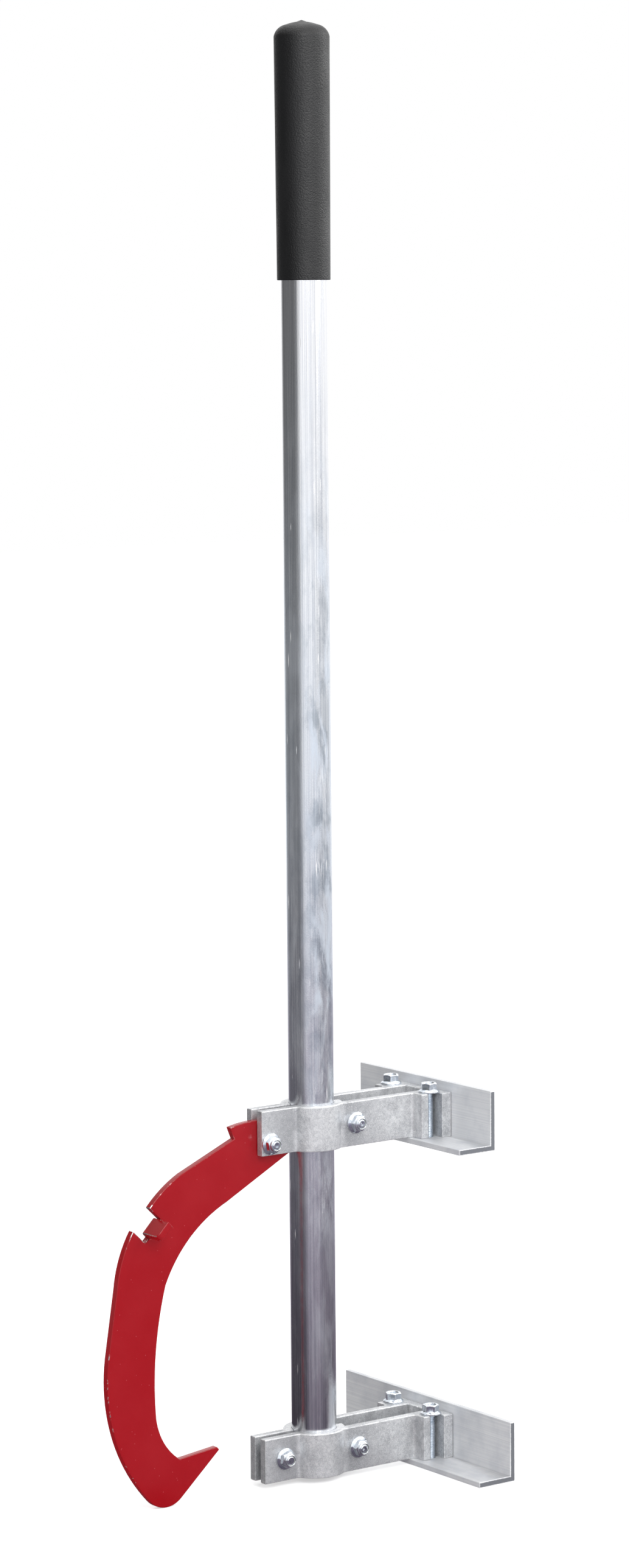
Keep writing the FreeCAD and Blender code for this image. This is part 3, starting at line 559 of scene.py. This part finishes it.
dressed_copy("hook_plate", "hook_blade", HOOK_EDGE_MM, "hook", red_enamel())


# Bolts and lock nuts
# Flanged 5/16 inch steel bolts and nylon ring lock nuts, bright zinc plated. Four are screwed down
# through the blocks into the angle bars, and four cross the ears and arms with a nut each.

THREAD_PITCH_MM = 1.411
THREAD_OUTER_MM = 7.94 / 2
THREAD_DEPTH_MM = 0.7
THREAD_STEPS = 24
THREAD_RIDGE_CORNERS = 4
THREAD_START_MM = 1.0
SHANK_MARGIN_MM = 0.1
# In metres: corners this near the thread's upper end keep their place, and corners this near the
# bolt's tip are its end
STEP_MARGIN = 1e-4
TIP_MARGIN = 1e-5
Y_AXIS = 1
Z_AXIS = 2
BOLT_EDGE_MM = 0.25
BOLT_HEAD_MM = 8.2
ROOT_INTO_HEAD_MM = 1.0
BOLT_TIP_MM = 1.5
END_RIM_MM = 0.9
END_SLOPE_MM = 1.3
END_DISH_MM = 0.25
FOOT_THREAD_MM = 41.0
CROSS_THREAD_MM = 20.0
ZINC_CLOUDS_MM = (3, 3, 3)
ZINC_GRAIN_MM = (0.5, 0.5, 0.5)


def bright_zinc():
    """Zinc plate, clear passivated: bright and slightly blue, with soft cloudy patches."""
    material, tree, shader, place = start_finish("bright_zinc")
    clouds = add_node(tree, "ShaderNodeTexNoise", {
        "Vector": stretched(tree, place, ZINC_CLOUDS_MM), "Scale": 1, "Detail": 4, "Roughness": 0.6})
    grain = add_node(tree, "ShaderNodeTexNoise", {
        "Vector": stretched(tree, place, ZINC_GRAIN_MM), "Scale": 1, "Detail": 2})
    plate = add_node(tree, "ShaderNodeMapRange", {
        "Value": clouds.outputs["Fac"], "From Min": 0.35, "From Max": 0.65})
    metal = add_node(tree, "ShaderNodeMix", {
        0: plate.outputs[0], 6: colour("#c9d2dd"), 7: colour("#eaeff5")}, data_type="RGBA")
    worn = add_node(tree, "ShaderNodeAttribute", attribute_name="worn")
    edged = add_node(tree, "ShaderNodeMix", {
        0: worn.outputs["Fac"], 6: metal.outputs[2], 7: colour("#f3f5f8")}, data_type="RGBA")
    tree.links.new(edged.outputs[2], shader.inputs["Base Color"])
    shader.inputs["Metallic"].default_value = 1
    rough = add_node(tree, "ShaderNodeMapRange", {
        "Value": plate.outputs[0], "To Min": 0.17, "To Max": 0.09})
    tree.links.new(rough.outputs[0], shader.inputs["Roughness"])
    bump = add_node(tree, "ShaderNodeBump", {
        "Height": grain.outputs["Fac"], "Strength": 0.2, "Distance": 0.00008})
    tree.links.new(bump.outputs[0], shader.inputs["Normal"])
    return material


def thread_tree():
    """The nodes that wind one thread up each start point, turned to its bolt's axis."""
    tree = bpy.data.node_groups.new("rolled_thread", "GeometryNodeTree")
    sockets = tree.interface
    sockets.new_socket("Starts", in_out="INPUT", socket_type="NodeSocketGeometry")
    for label in ("Pitch", "Outer Radius", "Depth", "Length"):
        sockets.new_socket(label, in_out="INPUT", socket_type="NodeSocketFloat")
    sockets.new_socket("Finish", in_out="INPUT", socket_type="NodeSocketMaterial")
    sockets.new_socket("Threads", in_out="OUTPUT", socket_type="NodeSocketGeometry")
    given = add_node(tree, "NodeGroupInput").outputs
    turns = add_node(tree, "ShaderNodeMath", {0: given["Length"], 1: given["Pitch"]},
                     operation="DIVIDE")
    root = add_node(tree, "ShaderNodeMath", {0: given["Outer Radius"], 1: given["Depth"]},
                    operation="SUBTRACT")
    helix = add_node(tree, "GeometryNodeCurveSpiral", {
        "Resolution": THREAD_STEPS, "Rotations": turns.outputs[0], "Start Radius": root.outputs[0],
        "End Radius": root.outputs[0], "Height": given["Length"]})
    upright = add_node(tree, "GeometryNodeSetCurveNormal", {"Curve": helix.outputs[0]}, mode="Z_UP")
    ridge = add_node(tree, "GeometryNodeCurvePrimitiveCircle", {
        "Resolution": THREAD_RIDGE_CORNERS, "Radius": given["Depth"]})
    wound = add_node(tree, "GeometryNodeCurveToMesh", {
        "Curve": upright.outputs[0], "Profile Curve": ridge.outputs[0], "Fill Caps": True})
    turn = add_node(tree, "GeometryNodeInputNamedAttribute", {"Name": "turn"},
                    data_type="FLOAT_VECTOR")
    turned = add_node(tree, "FunctionNodeEulerToRotation", {0: turn.outputs[0]})
    placed = add_node(tree, "GeometryNodeInstanceOnPoints", {
        "Points": given["Starts"], "Instance": wound.outputs[0], "Rotation": turned.outputs[0]})
    real = add_node(tree, "GeometryNodeRealizeInstances", {0: placed.outputs[0]})
    finished = add_node(tree, "GeometryNodeSetMaterial", {
        "Geometry": real.outputs[0], "Material": given["Finish"]})
    add_node(tree, "NodeGroupOutput", {"Threads": finished.outputs[0]})
    return tree


def wind_threads(name, starts, turn, length_mm):
    """One piece with a thread from each start point, as plain mesh."""
    points = bpy.data.meshes.new("thread_starts")
    points.from_pydata(starts, [], [])
    turns = points.attributes.new("turn", "FLOAT_VECTOR", "POINT")
    for entry in turns.data:
        entry.vector = turn
    holder = bpy.data.objects.new("thread_starts", points)
    bpy.context.scene.collection.objects.link(holder)
    tree = thread_tree()
    winding = holder.modifiers.new("threads", "NODES")
    winding.node_group = tree
    values = {"Pitch": THREAD_PITCH_MM / 1000, "Outer Radius": THREAD_OUTER_MM / 1000,
              "Depth": THREAD_DEPTH_MM / 1000, "Length": length_mm / 1000, "Finish": zinc_finish}
    for socket in tree.interface.items_tree:
        if socket.name in values:
            winding[socket.identifier] = values[socket.name]
    bpy.context.view_layer.update()
    wound = holder.evaluated_get(bpy.context.evaluated_depsgraph_get())
    made = bpy.data.meshes.new_from_object(wound)
    bpy.data.objects.remove(holder)
    made.shade_smooth()
    made.set_sharp_from_angle(angle=math.radians(SHARP_FROM_DEGREES))
    return new_piece(name, made, "frame", zinc_finish)


def threaded_bolt(name, node, centre, axis, thread_from, thread_to):
    """The bolt with its shank turned down to the thread's root between two places on its axis, and
    a shallow dish in its end."""
    piece = dressed_copy(name, node, BOLT_EDGE_MM, "frame", zinc_finish)
    mesh = bmesh.new()
    mesh.from_mesh(piece.data)
    along = Vector((0, 0, 0))
    along[axis] = 1
    for place in (thread_from, thread_to):
        bmesh.ops.bisect_plane(mesh, geom=mesh.verts[:] + mesh.edges[:] + mesh.faces[:],
                               plane_co=along * place, plane_no=along, dist=SAME_PLACE)
    tip = min(corner.co[axis] for corner in mesh.verts)
    for corner in mesh.verts:
        out = corner.co - Vector(centre)
        out[axis] = 0
        on_shank = abs(out.length * 1000 - THREAD_OUTER_MM) < SHANK_MARGIN_MM
        if on_shank and thread_from - SAME_PLACE < corner.co[axis] < thread_to - STEP_MARGIN:
            drawn_in = out * ((THREAD_OUTER_MM - THREAD_DEPTH_MM) / 1000 / out.length)
            corner.co += drawn_in - out
    end = [face for face in mesh.faces
           if all(corner.co[axis] < tip + TIP_MARGIN for corner in face.verts)]
    bmesh.ops.inset_region(mesh, faces=end, thickness=END_RIM_MM / 1000, use_even_offset=True)
    bmesh.ops.inset_region(mesh, faces=end, thickness=END_SLOPE_MM / 1000, depth=-END_DISH_MM / 1000,
                           use_even_offset=True)
    mesh.to_mesh(piece.data)
    mesh.free()
    piece.data.set_sharp_from_angle(angle=math.radians(SHARP_FROM_DEGREES))


zinc_finish = bright_zinc()
foot_starts = []
for place_name in ("upper", "lower"):
    for half in ("front", "rear"):
        node = f"{place_name}_foot_bolt_{half}"
        low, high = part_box(node)
        centre = (low + high) / 2
        threaded_bolt(f"{place_name}_foot_screw_{half}", node, centre, Z_AXIS, low.z,
                      high.z - BOLT_HEAD_MM / 1000 + ROOT_INTO_HEAD_MM / 1000)
        foot_starts.append((centre.x, centre.y, low.z + THREAD_START_MM / 1000))
wind_threads("foot_screw_threads", foot_starts, (0, 0, 0), FOOT_THREAD_MM)

cross_starts = []
for bolt in ("hook_pivot", "upper_clamp", "lower_ear", "lower_clamp"):
    low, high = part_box(f"{bolt}_bolt")
    centre = (low + high) / 2
    threaded_bolt(f"{bolt}_screw", f"{bolt}_bolt", centre, Y_AXIS, low.y + BOLT_TIP_MM / 1000,
                  low.y + (CROSS_THREAD_MM + THREAD_START_MM) / 1000)
    cross_starts.append((centre.x, low.y + THREAD_START_MM / 1000, centre.z))
    dressed_copy(f"{bolt}_lock_nut", f"{bolt}_nut", BOLT_EDGE_MM, "frame", zinc_finish)
wind_threads("cross_screw_threads", cross_starts, (-math.pi / 2, 0, 0), CROSS_THREAD_MM)


# Nylon rings
# A moulded ring held in each lock nut's collar, which grips the bolt's thread.

NYLON_CLOUDS_MM = (2, 2, 2)


def moulded_nylon():
    """Natural nylon 6: cloudy off-white, with a soft sheen and a faint cloudy relief."""
    material, tree, shader, place = start_finish("moulded_nylon")
    clouds = add_node(tree, "ShaderNodeTexNoise", {
        "Vector": stretched(tree, place, NYLON_CLOUDS_MM), "Scale": 1, "Detail": 3})
    ring = add_node(tree, "ShaderNodeMix", {
        0: clouds.outputs["Fac"], 6: colour("#a9aca3"), 7: colour("#cfd1c8")}, data_type="RGBA")
    tree.links.new(ring.outputs[2], shader.inputs["Base Color"])
    shader.inputs["Roughness"].default_value = 0.4
    shader.inputs["Subsurface Weight"].default_value = 0.1
    bump = add_node(tree, "ShaderNodeBump", {
        "Height": clouds.outputs["Fac"], "Strength": 0.3, "Distance": 0.0001})
    tree.links.new(bump.outputs[0], shader.inputs["Normal"])
    return material


nylon_finish = moulded_nylon()
for bolt in ("hook_pivot", "upper_clamp", "lower_ear", "lower_clamp"):
    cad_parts[f"{bolt}_nut_insert"].data.materials.clear()
    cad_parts[f"{bolt}_nut_insert"].data.materials.append(nylon_finish)


# Floor
# A wide sheet of white paper under the tool, which keeps the tool's shadow. In the metal it is seen
# dark close by, as the studio's floor is, and white far off.

FLOOR_HALF_WIDTH = 12
FLOOR_BELOW_TOOL_MM = 0.02
FELT_MM = (8, 8, 8)
FLOOR_LIFT = 0.5
FLOOR_DARK_WITHIN = 0.2
FLOOR_DARK_LEVEL = 0.2
FLOOR_PALE_BEYOND = 4.2
FLOOR_PALE_LEVEL = 1.05
LEFT_FROM = 0.3
LEFT_TO = 0.75
LEFT_DARKER_BY = 0.7
RIGHT_FROM = -0.5
RIGHT_TO = -0.9
RIGHT_DARKER_BY = 0.3
CAMERA_MM = Vector((-2117.968, -2908.577, 984.347))

camera_side = Vector((CAMERA_MM.x, CAMERA_MM.y, 0)).normalized()
left_side = Vector((camera_side.y, -camera_side.x, 0))


def leftward(tree, direction, start, full):
    """How far a direction points to the left side of the studio, from 0 at one share to 1 at the
    other; two negative shares measure how far it points to the right."""
    share = add_node(tree, "ShaderNodeVectorMath", {0: direction, 1: left_side},
                     operation="DOT_PRODUCT")
    return add_node(tree, "ShaderNodeMapRange", {
        "Value": share.outputs["Value"], "From Min": start, "From Max": full},
        interpolation_type="SMOOTHSTEP").outputs[0]


def white_paper():
    """White paper: matt, with a faint felt. What looks straight at it sees it white."""
    material, tree, shader, place = start_finish("white_paper")
    felt = add_node(tree, "ShaderNodeTexNoise", {
        "Vector": stretched(tree, place, FELT_MM), "Scale": 1, "Detail": 3})
    paper = add_node(tree, "ShaderNodeMix", {
        0: felt.outputs["Fac"], 6: colour("#f4f4f4"), 7: colour("#f8f8f8")}, data_type="RGBA")
    tree.links.new(paper.outputs[2], shader.inputs["Base Color"])
    shader.inputs["Roughness"].default_value = 0.9
    shader.inputs["Specular IOR Level"].default_value = 0
    shader.inputs["Emission Color"].default_value = (1, 1, 1, 1)
    ray = add_node(tree, "ShaderNodeLightPath")
    straight = add_node(tree, "ShaderNodeMath", {
        0: ray.outputs["Is Camera Ray"], 1: ray.outputs["Is Transmission Ray"]}, operation="MAXIMUM")
    lift = add_node(tree, "ShaderNodeMath", {0: straight.outputs[0], 1: FLOOR_LIFT},
                    operation="MULTIPLY")
    tree.links.new(lift.outputs[0], shader.inputs["Emission Strength"])
    # In the metal: dark round the tool and on the left, white far off
    spot = add_node(tree, "ShaderNodeVectorMath", {0: place, 1: (0.001, 0.001, 0)},
                    operation="MULTIPLY")
    far = add_node(tree, "ShaderNodeVectorMath", {0: spot.outputs[0]}, operation="LENGTH")
    level = add_node(tree, "ShaderNodeMapRange", {
        "Value": far.outputs["Value"], "From Min": FLOOR_DARK_WITHIN, "From Max": FLOOR_PALE_BEYOND,
        "To Min": FLOOR_DARK_LEVEL, "To Max": FLOOR_PALE_LEVEL})
    bearing = add_node(tree, "ShaderNodeVectorMath", {0: spot.outputs[0]}, operation="NORMALIZE")
    left = leftward(tree, bearing.outputs[0], LEFT_FROM, LEFT_TO)
    left_shade = add_node(tree, "ShaderNodeMath", {0: left, 1: -LEFT_DARKER_BY, 2: 1.0},
                          operation="MULTIPLY_ADD")
    right = leftward(tree, bearing.outputs[0], RIGHT_FROM, RIGHT_TO)
    shade = add_node(tree, "ShaderNodeMath", {
        0: right, 1: -RIGHT_DARKER_BY, 2: left_shade.outputs[0]}, operation="MULTIPLY_ADD")
    strength = add_node(tree, "ShaderNodeMath", {0: level.outputs[0], 1: shade.outputs[0]},
                        operation="MULTIPLY")
    tint = add_node(tree, "ShaderNodeMix", {
        0: level.outputs[0], 6: colour("#f6e2ff"), 7: colour("#f3f9ff")}, data_type="RGBA")
    mirrored = add_node(tree, "ShaderNodeEmission", {
        "Color": tint.outputs[2], "Strength": strength.outputs[0]})
    shown = add_node(tree, "ShaderNodeMixShader", {
        0: ray.outputs["Is Glossy Ray"], 1: shader.outputs["BSDF"], 2: mirrored.outputs[0]})
    tree.links.new(shown.outputs[0], tree.nodes["Material Output"].inputs["Surface"])
    return material


floor_mesh = bpy.data.meshes.new("floor")
floor_z = cad_low.z - FLOOR_BELOW_TOOL_MM / 1000
corners = ((-1, -1), (1, -1), (1, 1), (-1, 1))
floor_mesh.from_pydata([(x * FLOOR_HALF_WIDTH, y * FLOOR_HALF_WIDTH, floor_z) for x, y in corners],
                       [], [(0, 1, 2, 3)])
floor = bpy.data.objects.new("floor", floor_mesh)
bpy.context.scene.collection.objects.link(floor)
floor_mesh.materials.append(white_paper())


# Studio light
# A white room that is dark low down on the left, with four softboxes: overhead, high in front, high
# on the right, and at the right edge for the rims.

ROOM_MIRRORED_LEVEL = 1.2
ROOM_LEFT_LEVEL = 0.15
ROOM_DIFFUSE_LEVEL = 0.6
ROOM_DARK_BELOW = 0.3
ROOM_WHITE_ABOVE = 1.3

world = bpy.data.worlds.new("studio")
bpy.context.scene.world = world
world.use_nodes = True
room = world.node_tree
room.nodes.clear()
direction = add_node(room, "ShaderNodeTexCoord").outputs["Generated"]
height = add_node(room, "ShaderNodeSeparateXYZ", {0: direction})
low = add_node(room, "ShaderNodeMapRange", {
    "Value": height.outputs["Z"], "From Min": ROOM_WHITE_ABOVE, "From Max": ROOM_DARK_BELOW},
    interpolation_type="SMOOTHSTEP")
left = leftward(room, direction, LEFT_FROM, LEFT_TO)
dark = add_node(room, "ShaderNodeMath", {0: left, 1: low.outputs[0]}, operation="MULTIPLY")
walls = add_node(room, "ShaderNodeMapRange", {
    "Value": dark.outputs[0], "To Min": ROOM_MIRRORED_LEVEL, "To Max": ROOM_LEFT_LEVEL})
ray = add_node(room, "ShaderNodeLightPath")
lit = add_node(room, "ShaderNodeMix", {
    0: ray.outputs["Is Diffuse Ray"], 2: walls.outputs[0], 3: ROOM_DIFFUSE_LEVEL})
shown = add_node(room, "ShaderNodeMix", {0: ray.outputs["Is Camera Ray"], 2: lit.outputs[0], 3: 1.0})
background = add_node(room, "ShaderNodeBackground", {
    "Color": (1, 1, 1, 1), "Strength": shown.outputs[0]})
add_node(room, "ShaderNodeOutputWorld", {"Surface": background.outputs[0]})


def softbox(name, place, target, width, depth, watts):
    """A studio lamp with a rectangular face, at a place in metres, turned to face a target."""
    lamp = bpy.data.lights.new(name, "AREA")
    lamp.shape = "RECTANGLE"
    lamp.size = width
    lamp.size_y = depth
    lamp.energy = watts
    holder = bpy.data.objects.new(name, lamp)
    holder.location = place
    holder.rotation_euler = (Vector(target) - Vector(place)).to_track_quat("-Z", "Y").to_euler()
    bpy.context.scene.collection.objects.link(holder)


softbox("overhead_softbox", place=(0.3, 0.2, 2.6), target=(0, 0, 0.4), width=1.6, depth=1.6, watts=8)
softbox("front_softbox", place=(-0.6, -2.3, 2.0), target=(0, 0, 0.4), width=1.4, depth=1.4, watts=30)
softbox("right_softbox", place=(1.7, -2.0, 1.9), target=(0, 0, 0.5), width=1.2, depth=1.8, watts=18)
softbox("rim_softbox", place=(2.4, -0.5, 1.8), target=(0, 0, 1.0), width=0.9, depth=1.3, watts=16)


# Camera
# Stands where the photographer stood: the place, turn and lens were fitted to the photograph's
# edges. The picture is 1034 by 2576 pixels.

IMAGE_HEIGHT = 2576
FOCAL_PIXELS = 7131.003
LOOK_AT_MM = (0, 0, 500)
SENSOR_MM = 36
YAW_DEGREES = 0.082
PITCH_DEGREES = 1.354
ROLL_DEGREES = -0.511

aim = Vector(LOOK_AT_MM) - CAMERA_MM
azimuth = math.atan2(aim.x, aim.y) + math.radians(YAW_DEGREES)
elevation = math.atan2(aim.z, math.hypot(aim.x, aim.y)) + math.radians(PITCH_DEGREES)
roll = math.radians(ROLL_DEGREES)
forward = Vector((math.sin(azimuth) * math.cos(elevation), math.cos(azimuth) * math.cos(elevation),
                  math.sin(elevation)))
level_right = Vector((math.cos(azimuth), -math.sin(azimuth), 0))
level_up = level_right.cross(forward)
right = level_right * math.cos(roll) + level_up * math.sin(roll)
up = level_up * math.cos(roll) - level_right * math.sin(roll)

lens = bpy.data.cameras.new("photo_camera")
lens.sensor_fit = "AUTO"
lens.sensor_width = SENSOR_MM
lens.lens = FOCAL_PIXELS * SENSOR_MM / IMAGE_HEIGHT
lens.clip_end = 50
camera = bpy.data.objects.new("photo_camera", lens)
turned = Matrix((right, up, -forward)).transposed().to_4x4()
camera.matrix_world = Matrix.Translation(CAMERA_MM / 1000) @ turned
bpy.context.scene.collection.objects.link(camera)
bpy.context.scene.camera = camera
bpy.context.scene.view_settings.view_transform = "Standard"
